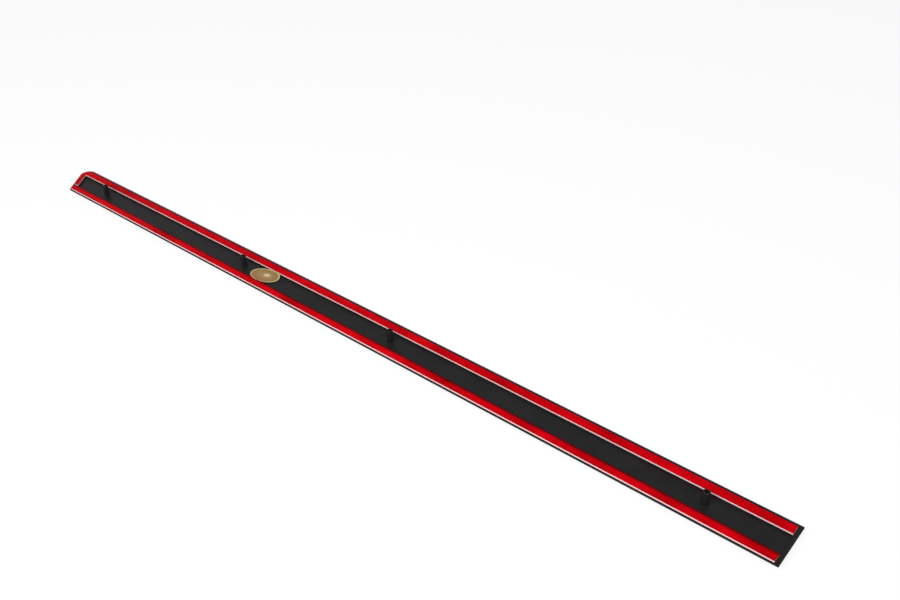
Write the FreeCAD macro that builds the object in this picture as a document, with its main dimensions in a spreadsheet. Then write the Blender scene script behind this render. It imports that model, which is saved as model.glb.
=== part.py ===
import FreeCAD, Part
import math
import os
import Sketcher

# A car body side moulding, lying face down with its back up, in millimetres.
# X runs along the strip to the square end, Y to the far edge, Z out of the back.

doc = FreeCAD.newDocument("BodySideMoulding")
sheet = doc.addObject("Spreadsheet::Sheet", "Sizes")
size = {
    # Moulded strip: outline, crowned face and lip
    "overall_length": 1037.0,
    "strip_width": 51.0,
    "strip_thickness": 8.5,
    "lip_height": 2.0,
    "crown_radius": 100.0,
    "shoulder_radius": 12.0,
    "slant_angle": 40.5,
    "tip_radius": 10.0,
    "end_lean": 15.0,
    "facet_length": 10.0,
    # Channel in the back
    "channel_depth": 1.5,
    "land_lip": 0.5,
    "end_wall": 3.0,
    # Locating pegs
    "peg_diameter": 6.6,
    "peg_height": 14.7,
    "peg_foot_round": 0.8,
    "peg_tip_chamfer": 0.7,
    "peg_bore_diameter": 4.0,
    "peg_bore_depth": 4.0,
    "square_peg_inset": 74.0,
    "square_peg_from_middle": 89.0,
    "slant_peg_from_middle": 146.0,
    "slant_peg_inset": 85.5,
    # Mounting tapes
    "tape_width": 10.0,
    "leg_width": 6.5,
    "foam_thickness": 1.5,
    "liner_thickness": 0.12,
    "far_margin": 4.3,
    "near_margin": 0.7,
    "slant_margin": 2.0,
    "square_margin": 4.0,
    "tape_corner_radius": 8.0,
    # Round sticker
    "sticker_diameter": 34.0,
    "sticker_thickness": 0.2,
    "sticker_lap": 3.5,
    "sticker_gap": 0.3,
    "sticker_rise": 3.5,
    "sticker_from_peg": 42.0,
}

for row, alias in enumerate(size, 1):
    sheet.set("A%d" % row, str(size[alias]))
    sheet.setAlias("A%d" % row, alias)
doc.recompute()

# Lines that several pieces share, as formulas of the sheet
RIGHT_END = "Sizes.overall_length / 2"
LEFT_END = "-Sizes.overall_length / 2"
FAR_EDGE = "Sizes.strip_width / 2"
NEAR_EDGE = "-Sizes.strip_width / 2"
BACK = "Sizes.strip_thickness"
LIP_EDGE = "(Sizes.strip_thickness - Sizes.lip_height)"
FLOOR = "(Sizes.strip_thickness - Sizes.channel_depth)"
FOAM_TOP = "(Sizes.strip_thickness + Sizes.foam_thickness)"
LINER_TOP = "(Sizes.strip_thickness + Sizes.foam_thickness + Sizes.liner_thickness)"
FAR_TAPE_OUTER = "(Sizes.strip_width / 2 - Sizes.far_margin)"
FAR_TAPE_INNER = "(Sizes.strip_width / 2 - Sizes.far_margin - Sizes.tape_width)"
NEAR_TAPE_OUTER = "(-Sizes.strip_width / 2 + Sizes.near_margin)"
NEAR_TAPE_INNER = "(-Sizes.strip_width / 2 + Sizes.near_margin + Sizes.tape_width)"
TAPE_RIGHT = "(Sizes.overall_length / 2 - Sizes.square_margin)"
PEG_PLACES = [
    "Sizes.overall_length / 2 - Sizes.square_peg_inset",
    "Sizes.square_peg_from_middle",
    "-Sizes.slant_peg_from_middle",
    "Sizes.slant_peg_inset - Sizes.overall_length / 2",
]
# Where the slanted end's straight edge leaves the rounded corner
TOUCH_ACROSS = LEFT_END + " + Sizes.tip_radius * (1 - cos(Sizes.slant_angle * 1 deg))"
TOUCH_UP = FAR_EDGE + " - Sizes.tip_radius * (1 + sin(Sizes.slant_angle * 1 deg))"
CHANNEL_MIDDLE = "(Sizes.near_margin - Sizes.far_margin) / 2"
STICKER_PLACE = "Sizes.sticker_from_peg - Sizes.slant_peg_from_middle"
STICKER_NEAR = "(" + NEAR_TAPE_INNER + " - Sizes.sticker_lap)"
STICKER_FAR = "(" + FAR_TAPE_INNER + " - Sizes.sticker_gap)"
STICKER_FOOT = "(" + FAR_TAPE_INNER + " - Sizes.sticker_gap - Sizes.sticker_rise)"

# How far a cutting profile reaches past the piece that it cuts
CUT_PAST = 5.0
FORWARD = FreeCAD.Vector(0, 0, 1)


def body_named(label):
    """Start a sub-part: a body whose label is the name of its file."""
    body = doc.addObject("PartDesign::Body", label)
    body.Label = label
    return body


def sketch_on(body, role, name, offset=None):
    """Open a sketch on one of the body's origin planes, lifted by a formula."""
    sketch = body.newObject("Sketcher::SketchObject", name)
    planes = [item for item in body.Origin.OriginFeatures if item.Role == role]
    sketch.AttachmentSupport = [(planes[0], "")]
    sketch.MapMode = "FlatFace"
    if offset:
        sketch.setExpression("AttachmentOffset.Base.z", offset)
    return sketch


def bind(sketch, constraint, formula):
    """Add a dimension to a sketch and tie it to the sheet."""
    index = sketch.addConstraint(constraint)
    sketch.setExpression("Constraints[%d]" % index, formula)
    return index


def pin_across(sketch, geometry, end, formula):
    """Tie a point's X in the sketch to the sheet."""
    place = sketch.getPoint(geometry, end).x
    bind(sketch, Sketcher.Constraint("DistanceX", -1, 1, geometry, end, place), formula)


def pin_up(sketch, geometry, end, formula):
    """Tie a point's Y in the sketch to the sheet."""
    place = sketch.getPoint(geometry, end).y
    bind(sketch, Sketcher.Constraint("DistanceY", -1, 1, geometry, end, place), formula)


def pin_point(sketch, geometry, end, across, up):
    """Tie one end of a line or arc to the sheet both ways."""
    pin_across(sketch, geometry, end, across)
    pin_up(sketch, geometry, end, up)


def tie_round(sketch, kind, geometry, alias):
    """Tie the radius or diameter of an arc or circle to one size."""
    bind(sketch, Sketcher.Constraint(kind, geometry, size[alias]), "Sizes." + alias)


def tie_slant(sketch, geometry):
    """Turn a line drawn towards the near edge to the slanted end's angle."""
    turn = math.radians(size["slant_angle"] - 90)
    bind(sketch, Sketcher.Constraint("Angle", geometry, turn), "(Sizes.slant_angle - 90) * 1 deg")


def line(sketch, start, stop):
    """Draw one straight edge."""
    start = FreeCAD.Vector(start[0], start[1], 0)
    stop = FreeCAD.Vector(stop[0], stop[1], 0)
    return sketch.addGeometry(Part.LineSegment(start, stop))


def arc(sketch, centre, radius, start, stop):
    """Draw one arc between two angles in degrees, anticlockwise."""
    circle = Part.Circle(FreeCAD.Vector(centre[0], centre[1], 0), FORWARD, radius)
    return sketch.addGeometry(Part.ArcOfCircle(circle, math.radians(start), math.radians(stop)))


def pad(body, sketch, name, length, middle=False):
    """Raise a sketch by a formula's length."""
    feature = body.newObject("PartDesign::Pad", name)
    feature.Profile = sketch
    feature.setExpression("Length", length)
    feature.Midplane = middle
    doc.recompute()
    return feature


def pocket(body, sketch, name, depth, middle=False):
    """Cut a sketch into the body and make sure that it removes material."""
    before = body.Shape.Volume
    feature = body.newObject("PartDesign::Pocket", name)
    feature.Profile = sketch
    feature.setExpression("Length", depth)
    feature.Midplane = middle
    doc.recompute()
    if body.Shape.Volume > before - 1.0:
        raise RuntimeError(name + " cuts nothing")
    return feature


def slanted_edge(inset):
    """Place a line parallel to the slanted end, this far inside it."""
    slant = math.radians(size["slant_angle"])
    middle = tip_middle()
    reach = size["tip_radius"] - inset
    return middle[0] - reach * math.cos(slant), middle[1] - reach * math.sin(slant)


def slanted_crossing(inset, height):
    """Find where that line crosses a given Y."""
    slant = math.radians(size["slant_angle"])
    start = slanted_edge(inset)
    return start[0] + (start[1] - height) * math.tan(slant)


def tie_slanted_line(sketch, geometry, aliases):
    """Hold a line parallel to the slanted end, some sizes' sum inside it."""
    formula = " + ".join("Sizes." + alias for alias in aliases)
    gap = sum(size[alias] for alias in aliases)
    touch = sketch.addGeometry(Part.Point(FreeCAD.Vector(*slanted_edge(0.0), 0)), True)
    pin_point(sketch, touch, 1, TOUCH_ACROSS, TOUCH_UP)
    bind(sketch, Sketcher.Constraint("Distance", touch, 1, geometry, gap), formula)
    tie_slant(sketch, geometry)


def tip_middle():
    """Centre of the rounded corner at the slanted end."""
    radius = size["tip_radius"]
    return -size["overall_length"] / 2 + radius, size["strip_width"] / 2 - radius


def strip_outline(sketch):
    """Plan of the strip: straight sides, a square end and a slanted end with one rounded corner."""
    right = size["overall_length"] / 2
    far = size["strip_width"] / 2
    slant = size["slant_angle"]
    middle = tip_middle()
    heel = slanted_crossing(0.0, -far)
    near_side = line(sketch, (heel, -far), (right, -far))
    square_end = line(sketch, (right, -far), (right, far))
    far_side = line(sketch, (right, far), (middle[0], far))
    tip = arc(sketch, middle, size["tip_radius"], 90, 180 + slant)
    slanted_end = line(sketch, slanted_edge(0.0), (heel, -far))
    sketch.addConstraint(Sketcher.Constraint("Coincident", near_side, 2, square_end, 1))
    sketch.addConstraint(Sketcher.Constraint("Coincident", square_end, 2, far_side, 1))
    sketch.addConstraint(Sketcher.Constraint("Tangent", far_side, 2, tip, 1))
    sketch.addConstraint(Sketcher.Constraint("Tangent", tip, 2, slanted_end, 1))
    sketch.addConstraint(Sketcher.Constraint("Coincident", slanted_end, 2, near_side, 1))
    sketch.addConstraint(Sketcher.Constraint("Horizontal", near_side))
    sketch.addConstraint(Sketcher.Constraint("Vertical", square_end))
    sketch.addConstraint(Sketcher.Constraint("Horizontal", far_side))
    pin_point(sketch, square_end, 2, RIGHT_END, FAR_EDGE)
    pin_up(sketch, near_side, 1, NEAR_EDGE)
    pin_across(sketch, tip, 3, LEFT_END + " + Sizes.tip_radius")
    tie_round(sketch, "Radius", tip, "tip_radius")
    tie_slant(sketch, slanted_end)


def crown_profile(sketch):
    """Section below the face: a broad crown between two tighter shoulders that spring from the lip."""
    far = size["strip_width"] / 2
    lip = size["strip_thickness"] - size["lip_height"]
    crown = size["crown_radius"]
    shoulder = size["shoulder_radius"]
    reach = math.hypot(far, crown - lip)
    lean = math.atan2(far, crown - lip)
    inner = crown - shoulder
    turn = math.acos((reach ** 2 + inner ** 2 - shoulder ** 2) / (2 * reach * inner))
    bearing = lean - turn
    middle = (inner * math.sin(bearing), crown - inner * math.cos(bearing))
    swing = math.degrees(bearing)
    spring = math.degrees(math.atan2(lip - middle[1], far - middle[0]))
    broad = arc(sketch, (0.0, crown), crown, 270 - swing, 270 + swing)
    far_shoulder = arc(sketch, middle, shoulder, 270 + swing, 360 + spring)
    near_shoulder = arc(sketch, (-middle[0], middle[1]), shoulder, 180 - spring, 270 - swing)
    corners = [(far, lip), (far + CUT_PAST, lip), (far + CUT_PAST, -CUT_PAST)]
    corners += [(-far - CUT_PAST, -CUT_PAST), (-far - CUT_PAST, lip), (-far, lip)]
    edges = [line(sketch, corners[i], corners[i + 1]) for i in range(5)]
    for first, second in zip(edges, edges[1:]):
        sketch.addConstraint(Sketcher.Constraint("Coincident", first, 2, second, 1))
    sketch.addConstraint(Sketcher.Constraint("Coincident", far_shoulder, 2, edges[0], 1))
    sketch.addConstraint(Sketcher.Constraint("Coincident", near_shoulder, 1, edges[4], 2))
    sketch.addConstraint(Sketcher.Constraint("Tangent", broad, 2, far_shoulder, 1))
    sketch.addConstraint(Sketcher.Constraint("Tangent", near_shoulder, 2, broad, 1))
    tie_round(sketch, "Radius", broad, "crown_radius")
    tie_round(sketch, "Radius", far_shoulder, "shoulder_radius")
    tie_round(sketch, "Radius", near_shoulder, "shoulder_radius")
    pin_point(sketch, broad, 3, "0", "Sizes.crown_radius")
    past = " + %g" % CUT_PAST
    pin_point(sketch, edges[0], 1, FAR_EDGE, LIP_EDGE)
    pin_point(sketch, edges[0], 2, FAR_EDGE + past, LIP_EDGE)
    pin_point(sketch, edges[1], 2, FAR_EDGE + past, "-%g" % CUT_PAST)
    pin_point(sketch, edges[2], 2, "-(" + FAR_EDGE + past + ")", "-%g" % CUT_PAST)
    pin_point(sketch, edges[3], 2, "-(" + FAR_EDGE + past + ")", LIP_EDGE)
    pin_point(sketch, edges[4], 2, NEAR_EDGE, LIP_EDGE)


def polygon(sketch, corners):
    """Closed outline of straight edges, each corner given by its formulas and its present place."""
    places = [corner[2] for corner in corners]
    edges = [line(sketch, places[i], places[(i + 1) % len(places)]) for i in range(len(places))]
    for i, edge in enumerate(edges):
        sketch.addConstraint(Sketcher.Constraint("Coincident", edge, 2, edges[(i + 1) % len(edges)], 1))
        pin_point(sketch, edge, 1, corners[i][0], corners[i][1])
    return edges


def facet_profile(sketch):
    """Wedge that slopes the face down to the lip at the square end."""
    right = size["overall_length"] / 2
    lip = size["strip_thickness"] - size["lip_height"]
    run = size["facet_length"] * (lip + CUT_PAST) / lip
    foot = RIGHT_END + " - Sizes.facet_length * (" + LIP_EDGE + " + %g) / " % CUT_PAST + LIP_EDGE
    below = "-%g" % CUT_PAST
    polygon(sketch, [
        (RIGHT_END, LIP_EDGE, (right, lip)),
        (foot, below, (right - run, -CUT_PAST)),
        (RIGHT_END, below, (right, -CUT_PAST)),
    ])


def channel_outline(sketch):
    """Plan of the channel: just inside the tapes, closed by a wall at the square end."""
    far = size["strip_width"] / 2 - size["far_margin"] - size["tape_width"] - size["land_lip"]
    near = -size["strip_width"] / 2 + size["near_margin"] + size["tape_width"] + size["land_lip"]
    right = size["overall_length"] / 2 - size["end_wall"]
    inset = size["slant_margin"] + size["leg_width"] + size["land_lip"]
    near_side = line(sketch, (slanted_crossing(inset, near), near), (right, near))
    square_end = line(sketch, (right, near), (right, far))
    far_side = line(sketch, (right, far), (slanted_crossing(inset, far), far))
    slanted = line(sketch, (slanted_crossing(inset, far), far), (slanted_crossing(inset, near), near))
    close_slanted_band(sketch, near_side, square_end, far_side, slanted)
    far_formula = FAR_TAPE_INNER + " - Sizes.land_lip"
    near_formula = NEAR_TAPE_INNER + " + Sizes.land_lip"
    pin_point(sketch, square_end, 2, RIGHT_END + " - Sizes.end_wall", far_formula)
    pin_up(sketch, near_side, 1, near_formula)
    tie_slanted_line(sketch, slanted, ["slant_margin", "leg_width", "land_lip"])


def close_slanted_band(sketch, near_side, square_end, far_side, slanted):
    """Join the four sides of a band that has one square end and one slanted end."""
    sides = [near_side, square_end, far_side, slanted]
    for i, side in enumerate(sides):
        sketch.addConstraint(Sketcher.Constraint("Coincident", side, 2, sides[(i + 1) % 4], 1))
    sketch.addConstraint(Sketcher.Constraint("Horizontal", near_side))
    sketch.addConstraint(Sketcher.Constraint("Vertical", square_end))
    sketch.addConstraint(Sketcher.Constraint("Horizontal", far_side))


def peg_circles(sketch, diameter):
    """One circle for each peg, on the middle line of the channel."""
    across = (size["near_margin"] - size["far_margin"]) / 2
    half = size["overall_length"] / 2
    places = [half - size["square_peg_inset"], size["square_peg_from_middle"]]
    places += [-size["slant_peg_from_middle"], size["slant_peg_inset"] - half]
    for place, formula in zip(places, PEG_PLACES):
        centre = FreeCAD.Vector(place, across, 0)
        circle = sketch.addGeometry(Part.Circle(centre, FORWARD, size[diameter] / 2))
        tie_round(sketch, "Diameter", circle, diameter)
        pin_point(sketch, circle, 3, formula, CHANNEL_MIDDLE)


def rings_at(shape, height, diameter):
    """Names of the circular edges of one diameter at one height."""
    names = []
    for number, edge in enumerate(shape.Edges, 1):
        if not isinstance(edge.Curve, Part.Circle):
            continue
        if abs(edge.Curve.Radius - diameter / 2) > 1e-4:
            continue
        if abs(edge.Curve.Center.z - height) < 1e-4:
            names.append("Edge%d" % number)
    return names


def far_tape_outline(sketch):
    """Plan of the far tape: along the far edge, round the corner and down the slanted end."""
    outer = size["strip_width"] / 2 - size["far_margin"]
    inner = outer - size["tape_width"]
    seam = -size["strip_width"] / 2 + size["near_margin"] + size["tape_width"]
    right = size["overall_length"] / 2 - size["square_margin"]
    slant = size["slant_angle"]
    radius = size["tape_corner_radius"]
    outer_inset = size["slant_margin"]
    inner_inset = outer_inset + size["leg_width"]
    centre_y = outer - radius
    centre_x = slanted_crossing(outer_inset, centre_y) + radius / math.cos(math.radians(slant))
    touch = (
        centre_x - radius * math.cos(math.radians(slant)),
        centre_y - radius * math.sin(math.radians(slant)),
    )
    leg_outer = (slanted_crossing(outer_inset, seam), seam)
    leg_inner = (slanted_crossing(inner_inset, seam), seam)
    bend = (slanted_crossing(inner_inset, inner), inner)
    far_side = line(sketch, (right, outer), (centre_x, outer))
    corner = arc(sketch, (centre_x, centre_y), radius, 90, 180 + slant)
    leg_outside = line(sketch, touch, leg_outer)
    seam_end = line(sketch, leg_outer, leg_inner)
    leg_inside = line(sketch, leg_inner, bend)
    inner_side = line(sketch, bend, (right, inner))
    square_end = line(sketch, (right, inner), (right, outer))
    sketch.addConstraint(Sketcher.Constraint("Tangent", far_side, 2, corner, 1))
    sketch.addConstraint(Sketcher.Constraint("Tangent", corner, 2, leg_outside, 1))
    sketch.addConstraint(Sketcher.Constraint("Coincident", leg_outside, 2, seam_end, 1))
    sketch.addConstraint(Sketcher.Constraint("Coincident", seam_end, 2, leg_inside, 1))
    sketch.addConstraint(Sketcher.Constraint("Coincident", leg_inside, 2, inner_side, 1))
    sketch.addConstraint(Sketcher.Constraint("Coincident", inner_side, 2, square_end, 1))
    sketch.addConstraint(Sketcher.Constraint("Coincident", square_end, 2, far_side, 1))
    sketch.addConstraint(Sketcher.Constraint("Horizontal", far_side))
    sketch.addConstraint(Sketcher.Constraint("Horizontal", seam_end))
    sketch.addConstraint(Sketcher.Constraint("Horizontal", inner_side))
    sketch.addConstraint(Sketcher.Constraint("Vertical", square_end))
    sketch.addConstraint(Sketcher.Constraint("Parallel", leg_outside, leg_inside))
    pin_point(sketch, square_end, 2, TAPE_RIGHT, FAR_TAPE_OUTER)
    pin_up(sketch, inner_side, 1, FAR_TAPE_INNER)
    pin_up(sketch, seam_end, 1, NEAR_TAPE_INNER)
    tie_round(sketch, "Radius", corner, "tape_corner_radius")
    tie_slanted_line(sketch, leg_outside, ["slant_margin"])
    across_leg = Sketcher.Constraint("Distance", leg_outside, 1, leg_inside, size["leg_width"])
    bind(sketch, across_leg, "Sizes.leg_width")


def near_tape_outline(sketch):
    """Plan of the near tape: along the near edge, trimmed along the slanted end."""
    outer = -size["strip_width"] / 2 + size["near_margin"]
    inner = outer + size["tape_width"]
    right = size["overall_length"] / 2 - size["square_margin"]
    inset = size["slant_margin"]
    near_side = line(sketch, (slanted_crossing(inset, outer), outer), (right, outer))
    square_end = line(sketch, (right, outer), (right, inner))
    far_side = line(sketch, (right, inner), (slanted_crossing(inset, inner), inner))
    slanted = line(sketch, (slanted_crossing(inset, inner), inner), (slanted_crossing(inset, outer), outer))
    close_slanted_band(sketch, near_side, square_end, far_side, slanted)
    pin_point(sketch, square_end, 2, TAPE_RIGHT, NEAR_TAPE_INNER)
    pin_up(sketch, near_side, 1, NEAR_TAPE_OUTER)
    tie_slanted_line(sketch, slanted, ["slant_margin"])


def moulding_strip():
    """The moulded strip: crowned face down, channel and pegs up."""
    body = body_named("moulding_strip")
    outline = sketch_on(body, "XY_Plane", "StripOutline", LIP_EDGE)
    strip_outline(outline)
    pad(body, outline, "Lip", "Sizes.lip_height")
    raised = pad(body, outline, "RaisedFace", LIP_EDGE)
    raised.Reversed = True
    raised.setExpression("TaperAngle", "-Sizes.end_lean * 1 deg")
    doc.recompute()
    profile = sketch_on(body, "YZ_Plane", "CrownProfile")
    crown_profile(profile)
    pocket(body, profile, "CrownedFace", "Sizes.overall_length + %g" % (2 * CUT_PAST), True)
    facet = sketch_on(body, "XZ_Plane", "FacetProfile")
    facet_profile(facet)
    pocket(body, facet, "EndFacet", "Sizes.strip_width + %g" % (2 * CUT_PAST), True)
    channel = sketch_on(body, "XY_Plane", "ChannelOutline", BACK)
    channel_outline(channel)
    pocket(body, channel, "Channel", "Sizes.channel_depth")
    pegs = sketch_on(body, "XY_Plane", "PegCircles", FLOOR)
    peg_circles(pegs, "peg_diameter")
    pad(body, pegs, "Pegs", "Sizes.peg_height")
    bores = sketch_on(body, "XY_Plane", "PegBores", FLOOR + " + Sizes.peg_height")
    peg_circles(bores, "peg_bore_diameter")
    bored = pocket(body, bores, "PegBoreHoles", "Sizes.peg_bore_depth")
    floor = size["strip_thickness"] - size["channel_depth"]
    tips = body.newObject("PartDesign::Chamfer", "PegTips")
    tips.Base = (bored, rings_at(bored.Shape, floor + size["peg_height"], size["peg_diameter"]))
    tips.setExpression("Size", "Sizes.peg_tip_chamfer")
    doc.recompute()
    feet = body.newObject("PartDesign::Fillet", "PegFeet")
    feet.Base = (tips, rings_at(tips.Shape, floor, size["peg_diameter"]))
    feet.setExpression("Radius", "Sizes.peg_foot_round")
    doc.recompute()
    return body


def tape_layer(label, outline, bottom, thickness):
    """One layer of a mounting tape: foam or the film on it."""
    body = body_named(label)
    sketch = sketch_on(body, "XY_Plane", label + "_outline", bottom)
    outline(sketch)
    pad(body, sketch, label + "_layer", thickness)
    return body


def round_sticker():
    """A thin foil disc, lapped on the near tape, sagging to the floor and rising against the far foam."""
    body = body_named("round_sticker")
    section = sketch_on(body, "YZ_Plane", "StickerSection", STICKER_PLACE)
    foam_top = size["strip_thickness"] + size["foam_thickness"]
    top = foam_top + size["liner_thickness"]
    floor = size["strip_thickness"] - size["channel_depth"]
    fold = -size["strip_width"] / 2 + size["near_margin"] + size["tape_width"]
    start = fold - size["sticker_lap"]
    stop = size["strip_width"] / 2 - size["far_margin"] - size["tape_width"] - size["sticker_gap"]
    foot = stop - size["sticker_rise"]
    thick = size["sticker_thickness"]
    lift = " + Sizes.sticker_thickness"
    polygon(section, [
        (STICKER_NEAR, LINER_TOP, (start, top)),
        (NEAR_TAPE_INNER, LINER_TOP, (fold, top)),
        (STICKER_FOOT, FLOOR, (foot, floor)),
        (STICKER_FAR, FOAM_TOP, (stop, foam_top)),
        (STICKER_FAR, FOAM_TOP + lift, (stop, foam_top + thick)),
        (STICKER_FOOT, FLOOR + lift, (foot, floor + thick)),
        (NEAR_TAPE_INNER, LINER_TOP + lift, (fold, top + thick)),
        (STICKER_NEAR, LINER_TOP + lift, (start, top + thick)),
    ])
    pad(body, section, "StickerSheet", "Sizes.sticker_diameter", True)
    ring = sketch_on(body, "XY_Plane", "StickerRing", LINER_TOP + lift)
    radius = size["sticker_diameter"] / 2
    place = size["sticker_from_peg"] - size["slant_peg_from_middle"]
    centre = FreeCAD.Vector(place, start + radius, 0)
    for factor in (1, 2):
        circle = ring.addGeometry(Part.Circle(centre, FORWARD, factor * radius))
        diameter = Sketcher.Constraint("Diameter", circle, factor * size["sticker_diameter"])
        bind(ring, diameter, "Sizes.sticker_diameter * %d" % factor)
        pin_point(ring, circle, 3, STICKER_PLACE, STICKER_NEAR + " + Sizes.sticker_diameter / 2")
    pocket(body, ring, "StickerDisc", "Sizes.strip_thickness")
    return body


nodes = [
    moulding_strip(),
    tape_layer("far_tape_foam", far_tape_outline, BACK, "Sizes.foam_thickness"),
    tape_layer("far_tape_liner", far_tape_outline, FOAM_TOP, "Sizes.liner_thickness"),
    tape_layer("near_tape_foam", near_tape_outline, BACK, "Sizes.foam_thickness"),
    tape_layer("near_tape_liner", near_tape_outline, FOAM_TOP, "Sizes.liner_thickness"),
    round_sticker(),
]
doc.recompute()

for item in doc.Objects:
    if "Invalid" in item.State or "Error" in item.State:
        raise RuntimeError(item.Label + " failed")
for node in nodes:
    if node.Shape.isNull() or not node.Shape.isValid():
        raise RuntimeError(node.Label + " has no valid shape")

os.makedirs("parts", exist_ok=True)
for node in nodes:
    node.Shape.exportStep("parts/" + node.Label + ".step")
    box = node.Shape.BoundBox
    print("%-16s %10.0f mm3  X %8.2f %8.2f  Y %7.2f %7.2f  Z %6.2f %6.2f" % (
        node.Label, node.Shape.Volume, box.XMin, box.XMax, box.YMin, box.YMax, box.ZMin, box.ZMax))
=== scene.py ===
import math

import bmesh
import bpy
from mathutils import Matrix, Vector, noise


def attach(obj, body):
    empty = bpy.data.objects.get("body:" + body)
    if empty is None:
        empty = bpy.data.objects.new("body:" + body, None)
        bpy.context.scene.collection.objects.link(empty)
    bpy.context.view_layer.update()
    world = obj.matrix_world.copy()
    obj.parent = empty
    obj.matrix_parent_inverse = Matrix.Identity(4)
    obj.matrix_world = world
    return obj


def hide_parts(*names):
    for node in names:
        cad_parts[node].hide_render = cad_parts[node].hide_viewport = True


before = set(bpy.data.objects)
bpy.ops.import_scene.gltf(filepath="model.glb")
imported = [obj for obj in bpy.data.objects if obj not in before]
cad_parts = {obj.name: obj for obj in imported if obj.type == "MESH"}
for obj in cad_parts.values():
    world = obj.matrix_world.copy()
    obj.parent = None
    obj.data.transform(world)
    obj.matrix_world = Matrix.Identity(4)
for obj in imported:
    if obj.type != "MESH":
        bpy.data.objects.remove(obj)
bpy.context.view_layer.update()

scene = bpy.context.scene
scene.view_settings.view_transform = "Standard"

# Camera: a full-frame camera with a 36 mm lens, held upright at arm's height beyond the strip's
# square end, and turned and tipped to look along the strip.
pitch = math.radians(33.42)
heading = math.radians(39.94)
camera_data = bpy.data.cameras.new("camera")
camera_data.sensor_width = 36.0
camera_data.lens = 36.0
camera_data.clip_start = 0.01
camera = bpy.data.objects.new("camera", camera_data)
camera.location = (0.6226, -0.5423, 0.5582)
camera.rotation_euler = (math.pi / 2 - pitch, 0, heading)
scene.collection.objects.link(camera)
scene.camera = camera


# Floor: a smooth sheet of white background card, level, and far larger than the strip.
# Card is dull and even, so it only shows the light on it and the strip's soft shadow.
MM = 0.001
floor_reach = 8.0


def linear(hex_colour):
    """An sRGB hex colour as linear red, green, blue and alpha."""
    parts = [int(hex_colour[i:i + 2], 16) / 255 for i in (1, 3, 5)]
    return [c / 12.92 if c <= 0.04045 else ((c + 0.055) / 1.055) ** 2.4 for c in parts] + [1.0]


def add_node(tree, kind, settings, links):
    """Add a node, set its sockets and options, and link its inputs to other nodes' outputs."""
    node = tree.nodes.new("ShaderNode" + kind)
    for name, value in settings.items():
        if isinstance(name, int) or name in node.inputs:
            node.inputs[name].default_value = value
        else:
            setattr(node, name, value)
    for name, output in links.items():
        tree.links.new(output, node.inputs[name])
    return node


def new_material(name):
    """An empty node material and its tree."""
    material = bpy.data.materials.new(name)
    material.use_nodes = True
    material.node_tree.nodes.clear()
    return material, material.node_tree


def finish_material(tree, shader):
    """Send a shader to the material's surface."""
    add_node(tree, "OutputMaterial", {}, {"Surface": shader.outputs[0]})


def new_piece(name, mesh, materials):
    """Turn a bmesh into an object at the origin with these materials."""
    data = bpy.data.meshes.new(name)
    mesh.to_mesh(data)
    mesh.free()
    piece = bpy.data.objects.new(name, data)
    for material in materials:
        data.materials.append(material)
    scene.collection.objects.link(piece)
    return piece


def background_rays(tree):
    """1 for rays that look at the background: the camera's, and those off or through shiny things."""
    rays = add_node(tree, "LightPath", {}, {})
    mirrored = add_node(tree, "Math", {"operation": "MAXIMUM"},
                        {0: rays.outputs["Is Camera Ray"], 1: rays.outputs["Is Glossy Ray"]})
    through = add_node(tree, "Math", {"operation": "MAXIMUM"},
                       {0: mirrored.outputs[0], 1: rays.outputs["Is Transmission Ray"]})
    return through.outputs[0]


card, tree = new_material("white_background_card")
fibres = add_node(tree, "TexNoise", {"Scale": 1 / (4 * MM), "Detail": 2.0},
                  {"Vector": add_node(tree, "TexCoord", {}, {}).outputs["Object"]})
shade = add_node(tree, "ValToRGB", {}, {0: fibres.outputs[0]})
shade.color_ramp.elements[0].color = linear("#F4F4F4")
shade.color_ramp.elements[1].color = linear("#F8F8F8")
paper = add_node(tree, "BsdfDiffuse", {"Roughness": 0.6}, {"Color": shade.outputs[0]})
glow = add_node(tree, "Emission", {"Color": linear("#FFFFFF"), "Strength": 1.0}, {})
glow_share = 0.86
share = add_node(tree, "Math", {"operation": "MULTIPLY", 1: glow_share}, {0: background_rays(tree)})
finish_material(tree, add_node(tree, "MixShader", {}, {
    0: share.outputs[0], 1: paper.outputs[0], 2: glow.outputs[0]}))
mesh = bmesh.new()
bmesh.ops.create_grid(mesh, x_segments=1, y_segments=1, size=floor_reach)
floor = new_piece("floor", mesh, [card])

# Lights: one broad soft box above and behind the camera's left, and a dim even room round it,
# as in a small product studio. The room looks white where the camera sees it.
room_light = 0.45
key_data = bpy.data.lights.new("soft_box", "AREA")
key_data.shape = "RECTANGLE"
key_data.size = 1.4
key_data.size_y = 1.0
key_data.energy = 25.0
key = bpy.data.objects.new("soft_box", key_data)
key.location = (0.35, -1.1, 1.15)
key.rotation_euler = (Vector((0, 0, 0)) - key.location).to_track_quat("-Z", "Y").to_euler()
scene.collection.objects.link(key)
room = bpy.data.worlds.new("studio_room")
room.use_nodes = True
room.node_tree.nodes.clear()
even = add_node(room.node_tree, "Background", {"Color": linear("#FFFFFF"), "Strength": room_light}, {})
white = add_node(room.node_tree, "Background", {"Color": linear("#FFFFFF"), "Strength": 1.0}, {})
seen = add_node(room.node_tree, "MixShader", {}, {
    0: background_rays(room.node_tree), 1: even.outputs[0], 2: white.outputs[0]})
add_node(room.node_tree, "OutputWorld", {}, {"Surface": seen.outputs[0]})
scene.world = room

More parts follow.
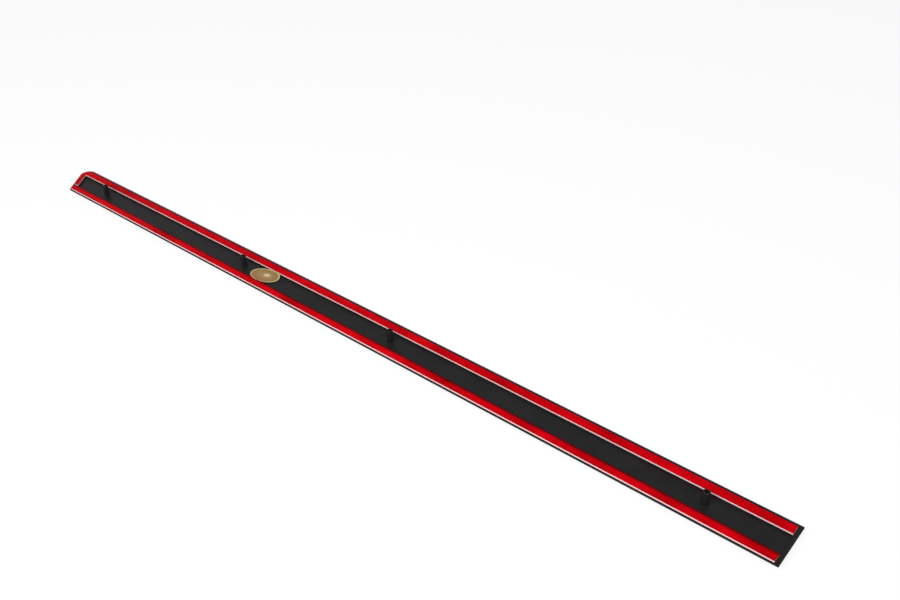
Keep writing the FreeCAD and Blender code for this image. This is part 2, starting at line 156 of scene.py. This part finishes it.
# Moulded strip: one injection moulding in black, talc-filled polypropylene, 1037 mm long.
# It lies on its crowned, grained face, with the channel of its back and its pegs upwards.
half_length = 518.5 * MM
half_width = 25.5 * MM
back = 8.5 * MM
lip_edge = 6.5 * MM
channel_floor = 7.0 * MM
slant = math.radians(40.5)
tip_radius = 10 * MM
tip = Vector((tip_radius - half_length, half_width - tip_radius, lip_edge))
crown_radius = 100 * MM
shoulder_radius = 12 * MM
shoulder = Vector((15.689 * MM, 13.410 * MM))
shoulder_start = crown_radius * math.sin(math.atan2(shoulder.x, crown_radius - shoulder.y))
lean = math.radians(15)
facet_length = 10 * MM
moulded_radius = 0.35 * MM
corner_steps, crown_steps, shoulder_steps = 16, 4, 6
crease = math.radians(30)
level_match = 1e-6
cut_match = 1e-7
merge_gap = 0.02 * MM


def slanted_x(inset, y):
    """Where a line parallel to the slanted end, this far inside it, crosses y."""
    reach = tip_radius - inset
    start_x = tip.x - reach * math.cos(slant)
    start_y = tip.y - reach * math.sin(slant)
    return start_x + (start_y - y) * math.tan(slant)


def face_height(y):
    """Height of the crowned face over the floor, across the strip."""
    y = abs(y)
    if y <= shoulder_start:
        return crown_radius - math.sqrt(crown_radius ** 2 - y ** 2)
    drop = max(shoulder_radius ** 2 - (y - shoulder.x) ** 2, 0.0)
    return min(shoulder.y - math.sqrt(drop), lip_edge)


def flat_faces(mesh, height):
    """The mesh's level faces at one height."""
    return [face for face in mesh.faces if all(abs(v.co.z - height) < level_match for v in face.verts)]


def score(mesh, height, place, direction):
    """Score the level faces at one height along a plane."""
    faces = flat_faces(mesh, height)
    edges = {edge for face in faces for edge in face.edges}
    verts = {vert for face in faces for vert in face.verts}
    bmesh.ops.bisect_plane(mesh, geom=faces + list(edges) + list(verts), dist=cut_match,
                           plane_co=place, plane_no=direction)


def drawn_down(mesh, faces):
    """Extrude faces, take the first ones away, and return the new vertices."""
    made = bmesh.ops.extrude_face_region(mesh, geom=faces)["geom"]
    bmesh.ops.delete(mesh, geom=faces, context="FACES")
    return [item for item in made if isinstance(item, bmesh.types.BMVert)]


strip = bmesh.new()
first = bmesh.ops.create_vert(strip, co=(tip.x, half_width, back))["vert"][0]
bmesh.ops.spin(strip, geom=[first], cent=tip, axis=(0, 0, 1), angle=math.pi / 2 + slant,
               steps=corner_steps)
strip.verts.ensure_lookup_table()
last = strip.verts[-1]
corners = [(slanted_x(0, -half_width), -half_width), (half_length, -half_width), (half_length, half_width)]
for place in corners:
    corner = strip.verts.new((place[0], place[1], back))
    strip.edges.new((last, corner))
    last = corner
strip.edges.new((last, first))
bmesh.ops.contextual_create(strip, geom=strip.edges[:])
made = bmesh.ops.extrude_face_region(strip, geom=strip.faces[:])["geom"]
lower = [item for item in made if isinstance(item, bmesh.types.BMVert)]
bmesh.ops.translate(strip, verts=lower, vec=(0, 0, lip_edge - back))
for step in range(-crown_steps, crown_steps + 1):
    score(strip, lip_edge, (0, step * shoulder_start / crown_steps, 0), (0, 1, 0))
for step in range(1, shoulder_steps):
    turn = step * math.pi / (2 * shoulder_steps)
    across = shoulder_start + (half_width - shoulder_start) * math.sin(turn)
    score(strip, lip_edge, (0, across, 0), (0, 1, 0))
    score(strip, lip_edge, (0, -across, 0), (0, 1, 0))
for vert in drawn_down(strip, flat_faces(strip, lip_edge)):
    height = face_height(vert.co.y)
    drop = (lip_edge - height) * math.tan(lean)
    if vert.co.x > 0:
        vert.co.x = half_length - facet_length * (1 - height / lip_edge)
    elif vert.co.y > tip.y - tip_radius * math.sin(slant) + level_match:
        vert.co += (tip - vert.co).normalized() * drop
    else:
        vert.co += Vector((math.cos(slant), math.sin(slant), 0)) * drop
    vert.co.z = height
bmesh.ops.remove_doubles(strip, verts=strip.verts[:], dist=merge_gap)

# The channel is sunk in the back: just inside the tapes, with a thin wall at the square end.
channel_far, channel_near, channel_end = 10.7 * MM, -14.3 * MM, 515.5 * MM
channel_inset = 9.0 * MM
middle_length, middle_width = 50 * MM, 2 * MM
score(strip, back, (0, channel_far, 0), (0, 1, 0))
score(strip, back, (0, channel_near, 0), (0, 1, 0))
score(strip, back, (channel_end, 0, 0), (1, 0, 0))
score(strip, back, (slanted_x(channel_inset, 0), 0, 0), (math.cos(slant), math.sin(slant), 0))
sunk = [face for face in flat_faces(strip, back) if abs(face.calc_center_median().y) < middle_width
        and abs(face.calc_center_median().x) < middle_length]
for vert in drawn_down(strip, sunk):
    vert.co.z = channel_floor
bmesh.ops.recalc_face_normals(strip, faces=strip.faces[:])

# The back comes off a plain, spark-eroded half of the mould: even, dull and nearly black, with
# faint clouds where the melt cooled unevenly.
plain, tree = new_material("black_polypropylene_plain_back")
place = add_node(tree, "TexCoord", {}, {}).outputs["Object"]
cloud = add_node(tree, "TexNoise", {"Scale": 1 / (20 * MM), "Detail": 4.0, "Roughness": 0.6},
                 {"Vector": place})
shade = add_node(tree, "ValToRGB", {}, {0: cloud.outputs[0]})
shade.color_ramp.elements[0].position = 0.3
shade.color_ramp.elements[0].color = linear("#181717")
shade.color_ramp.elements[1].position = 0.7
shade.color_ramp.elements[1].color = linear("#201F1F")
pits = add_node(tree, "TexNoise", {"Scale": 1 / (0.5 * MM), "Detail": 2.0}, {"Vector": place})
bump = add_node(tree, "Bump", {"Strength": 0.25, "Distance": 0.06 * MM}, {"Height": pits.outputs[0]})
dull = add_node(tree, "MapRange", {"To Min": 0.5, "To Max": 0.62}, {"Value": cloud.outputs[0]})
finish_material(tree, add_node(tree, "BsdfPrincipled", {"IOR": 1.49, "Specular IOR Level": 0.08}, {
    "Base Color": shade.outputs[0], "Roughness": dull.outputs[0], "Normal": bump.outputs[0]}))

# The face comes off an etched half of the mould: a leather-like grain of cells about 0.8 mm
# across, which breaks its shine into fine points.
grained, tree = new_material("black_polypropylene_grained_face")
place = add_node(tree, "TexCoord", {}, {}).outputs["Object"]
cells = add_node(tree, "TexVoronoi", {"Scale": 1 / (0.8 * MM), "feature": "SMOOTH_F1"}, {"Vector": place})
cloud = add_node(tree, "TexNoise", {"Scale": 1 / (30 * MM), "Detail": 3.0}, {"Vector": place})
shade = add_node(tree, "ValToRGB", {}, {0: cloud.outputs[0]})
shade.color_ramp.elements[0].color = linear("#262627")
shade.color_ramp.elements[1].color = linear("#2E2E2F")
bump = add_node(tree, "Bump", {"Strength": 0.5, "Distance": 0.1 * MM}, {"Height": cells.outputs[0]})
dull = add_node(tree, "MapRange", {"To Min": 0.46, "To Max": 0.56}, {"Value": cells.outputs[0]})
finish_material(tree, add_node(tree, "BsdfPrincipled", {"IOR": 1.49, "Specular IOR Level": 0.4}, {
    "Base Color": shade.outputs[0], "Roughness": dull.outputs[0], "Normal": bump.outputs[0]}))

strip_body = new_piece("strip_body", strip, [plain, grained])
for face in strip_body.data.polygons:
    face.use_smooth = True
    face.material_index = 1 if face.center.z < lip_edge - 0.001 * MM else 0
strip_body.data.set_sharp_from_angle(angle=crease)
rounding = strip_body.modifiers.new("moulded_radius", "BEVEL")
rounding.width = moulded_radius
rounding.segments = 3
rounding.limit_method = "ANGLE"
rounding.angle_limit = math.radians(32)
rounding.harden_normals = True
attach(strip_body, "root")

# Locating pegs: four hollow-tipped round pegs moulded in one with the strip. They drop into
# the door panel's holes and hold the strip in place while its tape sticks.
peg_places = [444.5 * MM, 89 * MM, -146 * MM, -433 * MM]
peg_y = -1.8 * MM
peg_top = 21.7 * MM
peg_radius, bore_radius = 3.3 * MM, 2.0 * MM
bore_floor = peg_top - 4.0 * MM
bore_bevel, tip_bevel = 0.15 * MM, 0.7 * MM
foot_curve = [(0, 0.8), (0.07, 0.45), (0.3, 0.15), (0.8, 0)]
peg_steps = 40
seam_match = 0.001 * MM
pegs = bmesh.new()
for peg_x in peg_places:
    profile = [(0, bore_floor), (bore_radius, bore_floor), (bore_radius, peg_top - bore_bevel),
               (bore_radius + bore_bevel, peg_top), (peg_radius - tip_bevel, peg_top),
               (peg_radius, peg_top - tip_bevel)]
    profile += [(peg_radius + out * MM, channel_floor + up * MM) for out, up in foot_curve]
    profile.append((0, channel_floor))
    side = []
    for radius, height in profile:
        side.append(pegs.verts.new((peg_x + radius, peg_y, height)))
        if len(side) > 1:
            pegs.edges.new(side[-2:])
    chain = side + [edge for edge in pegs.edges if edge.verts[0] in side]
    bmesh.ops.spin(pegs, geom=chain, cent=(peg_x, peg_y, 0), axis=(0, 0, 1), angle=math.tau,
                   steps=peg_steps, use_merge=True)
bmesh.ops.remove_doubles(pegs, verts=pegs.verts[:], dist=seam_match)
bmesh.ops.recalc_face_normals(pegs, faces=pegs.faces[:])
locating_pegs = new_piece("locating_pegs", pegs, [plain])
for face in locating_pegs.data.polygons:
    face.use_smooth = True
locating_pegs.data.set_sharp_from_angle(angle=crease)
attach(locating_pegs, "root")
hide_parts("moulding_strip")

# Mounting tape, foam: white closed-cell acrylic foam, 10 mm wide and 1.5 mm thick. One tape runs
# along the far edge, round the corner and, cut narrower, down the slanted end. The other runs
# along the near edge. The knife leaves their sides a little wavy, and the two meet with a gap.
tape_end = 514.5 * MM
far_outer, far_inner = 21.2 * MM, 11.2 * MM
near_outer, near_inner = -24.8 * MM, -14.8 * MM
outer_inset, inner_inset = 2.0 * MM, 8.5 * MM
corner_radius = 8 * MM
seam_gap = 1.0 * MM
foam_top = 10 * MM
foam_setback = 0.1 * MM
knife_wave = 0.12 * MM
wave_length = 35 * MM
wave_change = 9
slice_length = 12 * MM


def chained(mesh, last, places, height):
    """Draw straight edges on from a vertex, through these places."""
    for place in places:
        corner = mesh.verts.new((place[0], place[1], height))
        mesh.edges.new((last, corner))
        last = corner
    return last


def raised(layer, thickness, outer, inner):
    """Fill a tape's outline, raise it, slice it across and let its long sides waver."""
    bmesh.ops.contextual_create(layer, geom=layer.edges[:])
    made = bmesh.ops.extrude_face_region(layer, geom=layer.faces[:])["geom"]
    upper = [item for item in made if isinstance(item, bmesh.types.BMVert)]
    bmesh.ops.translate(layer, verts=upper, vec=(0, 0, thickness))
    slices = int(tape_end / slice_length)
    for step in range(-slices, slices + 1):
        whole = layer.verts[:] + layer.edges[:] + layer.faces[:]
        bmesh.ops.bisect_plane(layer, geom=whole, dist=cut_match,
                               plane_co=(step * slice_length, 0, 0), plane_no=(1, 0, 0))
    inwards = math.copysign(1, inner - outer)
    for vert in layer.verts:
        spot = (vert.co.x / wave_length, vert.co.y / wave_length * wave_change, 0)
        wave = knife_wave * (0.5 + 0.5 * noise.noise(spot))
        if abs(vert.co.y - outer) < level_match:
            vert.co.y += inwards * wave
        elif abs(vert.co.y - inner) < level_match:
            vert.co.y -= inwards * wave
    bmesh.ops.recalc_face_normals(layer, faces=layer.faces[:])
    return layer


def far_tape(bottom, top, setback):
    """One layer of the far tape, set back from its outline by a little."""
    outer, inner = far_outer - setback, far_inner + setback
    outside, inside = outer_inset + setback, inner_inset - setback
    seam = near_inner + seam_gap
    radius = corner_radius - setback
    centre_y = outer - radius
    centre_x = slanted_x(outside, centre_y) + radius / math.cos(slant)
    layer = bmesh.new()
    first = bmesh.ops.create_vert(layer, co=(centre_x, outer, bottom))["vert"][0]
    bmesh.ops.spin(layer, geom=[first], cent=(centre_x, centre_y, bottom), axis=(0, 0, 1),
                   angle=math.pi / 2 + slant, steps=corner_steps)
    layer.verts.ensure_lookup_table()
    last = chained(layer, layer.verts[-1], [
        (slanted_x(outside, seam), seam), (slanted_x(inside, seam), seam),
        (slanted_x(inside, inner), inner), (tape_end - setback, inner), (tape_end - setback, outer)], bottom)
    layer.edges.new((last, first))
    return raised(layer, top - bottom, outer, inner)


def near_tape(bottom, top, setback):
    """One layer of the near tape, set back from its outline by a little."""
    outer, inner = near_outer + setback, near_inner - setback
    inset = outer_inset + setback
    layer = bmesh.new()
    first = layer.verts.new((slanted_x(inset, inner), inner, bottom))
    last = chained(layer, first, [(slanted_x(inset, outer), outer), (tape_end - setback, outer),
                                  (tape_end - setback, inner)], bottom)
    layer.edges.new((last, first))
    return raised(layer, top - bottom, outer, inner)


# White foam looks pink along the tapes, because the red film's light soaks into it.
foam, tree = new_material("white_acrylic_foam_cut")
place = add_node(tree, "TexCoord", {}, {}).outputs["Object"]
cells = add_node(tree, "TexNoise", {"Scale": 1 / (0.8 * MM), "Detail": 3.0}, {"Vector": place})
shade = add_node(tree, "ValToRGB", {}, {0: cells.outputs[0]})
shade.color_ramp.elements[0].position = 0.3
shade.color_ramp.elements[0].color = linear("#F8C4C6")
shade.color_ramp.elements[1].position = 0.7
shade.color_ramp.elements[1].color = linear("#FFE2E2")
bump = add_node(tree, "Bump", {"Strength": 0.4, "Distance": 0.1 * MM}, {"Height": cells.outputs[0]})
finish_material(tree, add_node(
    tree, "BsdfPrincipled", {"Roughness": 0.8, "IOR": 1.47, "Specular IOR Level": 0.1},
    {"Base Color": shade.outputs[0], "Normal": bump.outputs[0]}))
far_foam = new_piece("far_foam", far_tape(back, foam_top, foam_setback), [foam])
near_foam = new_piece("near_foam", near_tape(back, foam_top, foam_setback), [foam])
for piece in (far_foam, near_foam):
    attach(piece, "root")
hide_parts("far_tape_foam")
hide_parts("near_tape_foam")

# Mounting tape, release film: thin glossy red polythene on the foam, peeled off just before
# the strip is pressed on the door. It is rolled on, so it has fine streaks along the tape and
# stands a hair over the foam's sides.
film_top = 10.12 * MM
# The film's rim and the near film's inner edge carry painted shade over these widths; at the rim the film
# keeps this share of its full red.
rim_width = 0.9 * MM
rim_painted_light = 0.6
inner_edge_shade_width = 3.6 * MM
streak_stretch = 0.06


def inset_with_painted_rim_shade(sheet):
    """Inset a film's top, and mark its painted shade: full red inside, darker at the rim."""
    top = flat_faces(sheet, film_top)
    bmesh.ops.inset_region(sheet, faces=top, thickness=rim_width, use_even_offset=True)
    painted_foam_light = sheet.verts.layers.float.new("painted_foam_light")
    inside = {vert for face in top for vert in face.verts}
    for vert in sheet.verts:
        vert[painted_foam_light] = 1.0 if vert in inside else rim_painted_light


def paint_inner_edge_shade(sheet):
    """Add painted shade to the near film, darker towards its inner edge."""
    score(sheet, film_top, (0, near_inner - inner_edge_shade_width, 0), (0, 1, 0))
    painted_foam_light = sheet.verts.layers.float["painted_foam_light"]
    for vert in sheet.verts:
        vert[painted_foam_light] = min(vert[painted_foam_light], (near_inner - vert.co.y) / inner_edge_shade_width)


# Polythene film with a deep red dye, cast smooth: an even, saturated red, with painted shade that
# darkens it at its rims and towards the near film's inner edge. It mirrors a pale room only faintly.
film, tree = new_material("red_polythene_release_film")
place = add_node(tree, "TexCoord", {}, {}).outputs["Object"]
along = add_node(tree, "Mapping", {"Scale": (streak_stretch, 1.0, 1.0)}, {"Vector": place})
streaks = add_node(tree, "TexNoise", {"Scale": 1 / (1.2 * MM), "Detail": 3.0}, {"Vector": along.outputs[0]})
patches = add_node(tree, "TexNoise", {"Scale": 1 / (35 * MM), "Detail": 2.0}, {"Vector": place})
both = add_node(tree, "Math", {"operation": "MULTIPLY_ADD", 1: 0.5},
                {0: streaks.outputs[0], 2: patches.outputs[0]})
shade = add_node(tree, "ValToRGB", {}, {0: both.outputs[0]})
shade.color_ramp.elements[0].position = 0.5
shade.color_ramp.elements[0].color = linear("#9E0008")
shade.color_ramp.elements[1].position = 0.95
shade.color_ramp.elements[1].color = linear("#D40412")
painted_light_attribute = add_node(tree, "Attribute", {"attribute_name": "painted_foam_light"}, {})
# Painted shade: the red mixes to a dark red where the film's painted foam light is low.
shade = add_node(tree, "Mix", {"data_type": "RGBA", 6: linear("#2A0406")},
                 {0: painted_light_attribute.outputs["Fac"], 7: shade.outputs[0]})
ripples = add_node(tree, "TexNoise", {"Scale": 1 / (6 * MM), "Detail": 2.0}, {"Vector": place})
bump = add_node(tree, "Bump", {"Strength": 0.3, "Distance": 0.2 * MM}, {"Height": ripples.outputs[0]})
fine = add_node(tree, "Bump", {"Strength": 0.15, "Distance": 0.05 * MM},
                {"Height": streaks.outputs[0], "Normal": bump.outputs[0]})
finish_material(tree, add_node(
    tree, "BsdfPrincipled", {"Roughness": 0.28, "IOR": 1.5, "Specular IOR Level": 0.006},
    {"Base Color": shade.outputs[2], "Normal": fine.outputs[0]}))
far_sheet = far_tape(foam_top, film_top, 0)
near_sheet = near_tape(foam_top, film_top, 0)
inset_with_painted_rim_shade(far_sheet)
inset_with_painted_rim_shade(near_sheet)
paint_inner_edge_shade(near_sheet)
far_film = new_piece("far_film", far_sheet, [film])
near_film = new_piece("near_film", near_sheet, [film])
for piece in (far_film, near_film):
    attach(piece, "root")
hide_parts("far_tape_liner")
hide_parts("near_tape_liner")

# Round sticker: a plain gold foil disc on paper, 34 mm across, stuck across the channel by hand.
# It laps on the near tape's film, bridges the channel and is pushed up against the far foam.
sticker_radius = 17 * MM
sticker_middle = Vector((-111.7 * MM, 0.5 * MM, 6.75 * MM))
sticker_paper = 0.15 * MM
ring_radii = (0, 2.5, 5, 7.5, 10, 12, 14, 15.5, 16.4, 17)
disc_steps = 48
lean_along, lean_across, shortened = -0.095, -0.219, 0.976
push, push_bend = 11.6 * MM, 1.3
push_way = Vector((0.682, -0.519, 0.515))
curl = 0.8 * MM


def draped(vert):
    """Lay a point of the flat disc across the channel, pushed up against the far foam."""
    x, y = vert.co.x, vert.co.y
    pushed = push * max((y / sticker_radius + 1) / 2, 0) ** push_bend
    curled = curl * max(x + y, 0) ** 2 / sticker_radius ** 2 * max(y, 0) / sticker_radius
    leaning = Vector((x, shortened * y, lean_along * x + lean_across * y + curled))
    vert.co = sticker_middle + leaning + pushed * push_way


disc = bmesh.new()
spoke = [disc.verts.new((radius * MM, 0, 0)) for radius in ring_radii]
for first, second in zip(spoke, spoke[1:]):
    disc.edges.new((first, second))
bmesh.ops.spin(disc, geom=disc.verts[:] + disc.edges[:], cent=(0, 0, 0), axis=(0, 0, 1), angle=math.tau,
               steps=disc_steps, use_merge=True)
bmesh.ops.remove_doubles(disc, verts=disc.verts[:], dist=seam_match)
bmesh.ops.recalc_face_normals(disc, faces=disc.faces[:])
if disc.faces[0].normal.z < 0:
    bmesh.ops.reverse_faces(disc, faces=disc.faces[:])
flat = disc.loops.layers.uv.new("flat")
for face in disc.faces:
    for loop in face.loops:
        loop[flat].uv = (loop.vert.co.x / sticker_radius, loop.vert.co.y / sticker_radius)
for vert in disc.verts:
    draped(vert)

# Foil stamped on paper, with rings pressed in by hand: a worn mirror, with a painted soft glint
# of the lamp in its middle, and a painted reflection of the red film under its near side.
foil, tree = new_material("gold_foil_on_paper")
centred = add_node(tree, "UVMap", {"uv_map": "flat"}, {}).outputs[0]
out = add_node(tree, "VectorMath", {"operation": "LENGTH"}, {0: centred})
rings = add_node(tree, "ValToRGB", {}, {0: out.outputs["Value"]})
stops = rings.color_ramp.elements
stops[0].color = linear("#A28150")
stops[1].color = linear("#BCAA74")
for position, colour in ((0.55, "#947340"), (0.8, "#876936"), (0.84, "#69522C"), (0.87, "#9A824E"),
                         (0.93, "#BCA970")):
    stops.new(position).color = linear(colour)
# Painted highlight: a soft pale glint is mixed into the foil's colour just off its middle.
from_glint = add_node(tree, "VectorMath", {"operation": "DISTANCE", 1: (0.06, 0.12, 0.0)}, {0: centred})
glint = add_node(tree, "MapRange", {
    "interpolation_type": "SMOOTHSTEP", "From Min": 0.34, "From Max": 0.02, "To Max": 0.85},
    {"Value": from_glint.outputs["Value"]})
lit = add_node(tree, "Mix", {"data_type": "RGBA", 7: linear("#DCCFAC")},
               {0: glint.outputs[0], 6: rings.outputs[0]})
# Painted reflection: the foil's near side is tinted with the red of the film under it.
across = add_node(tree, "SeparateXYZ", {}, {0: centred})
painted_red_reflection = add_node(tree, "MapRange", {"From Min": -0.35, "From Max": -0.95, "To Max": 0.55},
                    {"Value": across.outputs[1]})
gold = add_node(tree, "Mix", {"data_type": "RGBA", 7: linear("#A04C30")},
                {0: painted_red_reflection.outputs[0], 6: lit.outputs[2]})
specks = add_node(tree, "TexNoise", {"Scale": 40.0, "Detail": 3.0}, {"Vector": centred})
bump = add_node(tree, "Bump", {"Strength": 0.4, "Distance": 0.15 * MM}, {"Height": specks.outputs[0]})
press = add_node(tree, "Bump", {"Strength": 0.5, "Distance": 0.3 * MM},
                 {"Height": rings.outputs[0], "Normal": bump.outputs[0]})
finish_material(tree, add_node(tree, "BsdfPrincipled", {"Metallic": 0.5, "Roughness": 0.36},
                               {"Base Color": gold.outputs[2], "Normal": press.outputs[0]}))
gold_disc = new_piece("gold_disc", disc, [foil])
for face in gold_disc.data.polygons:
    face.use_smooth = True
paper_body = gold_disc.modifiers.new("paper_thickness", "SOLIDIFY")
paper_body.thickness = sticker_paper
paper_body.offset = 1.0
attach(gold_disc, "root")
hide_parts("round_sticker")
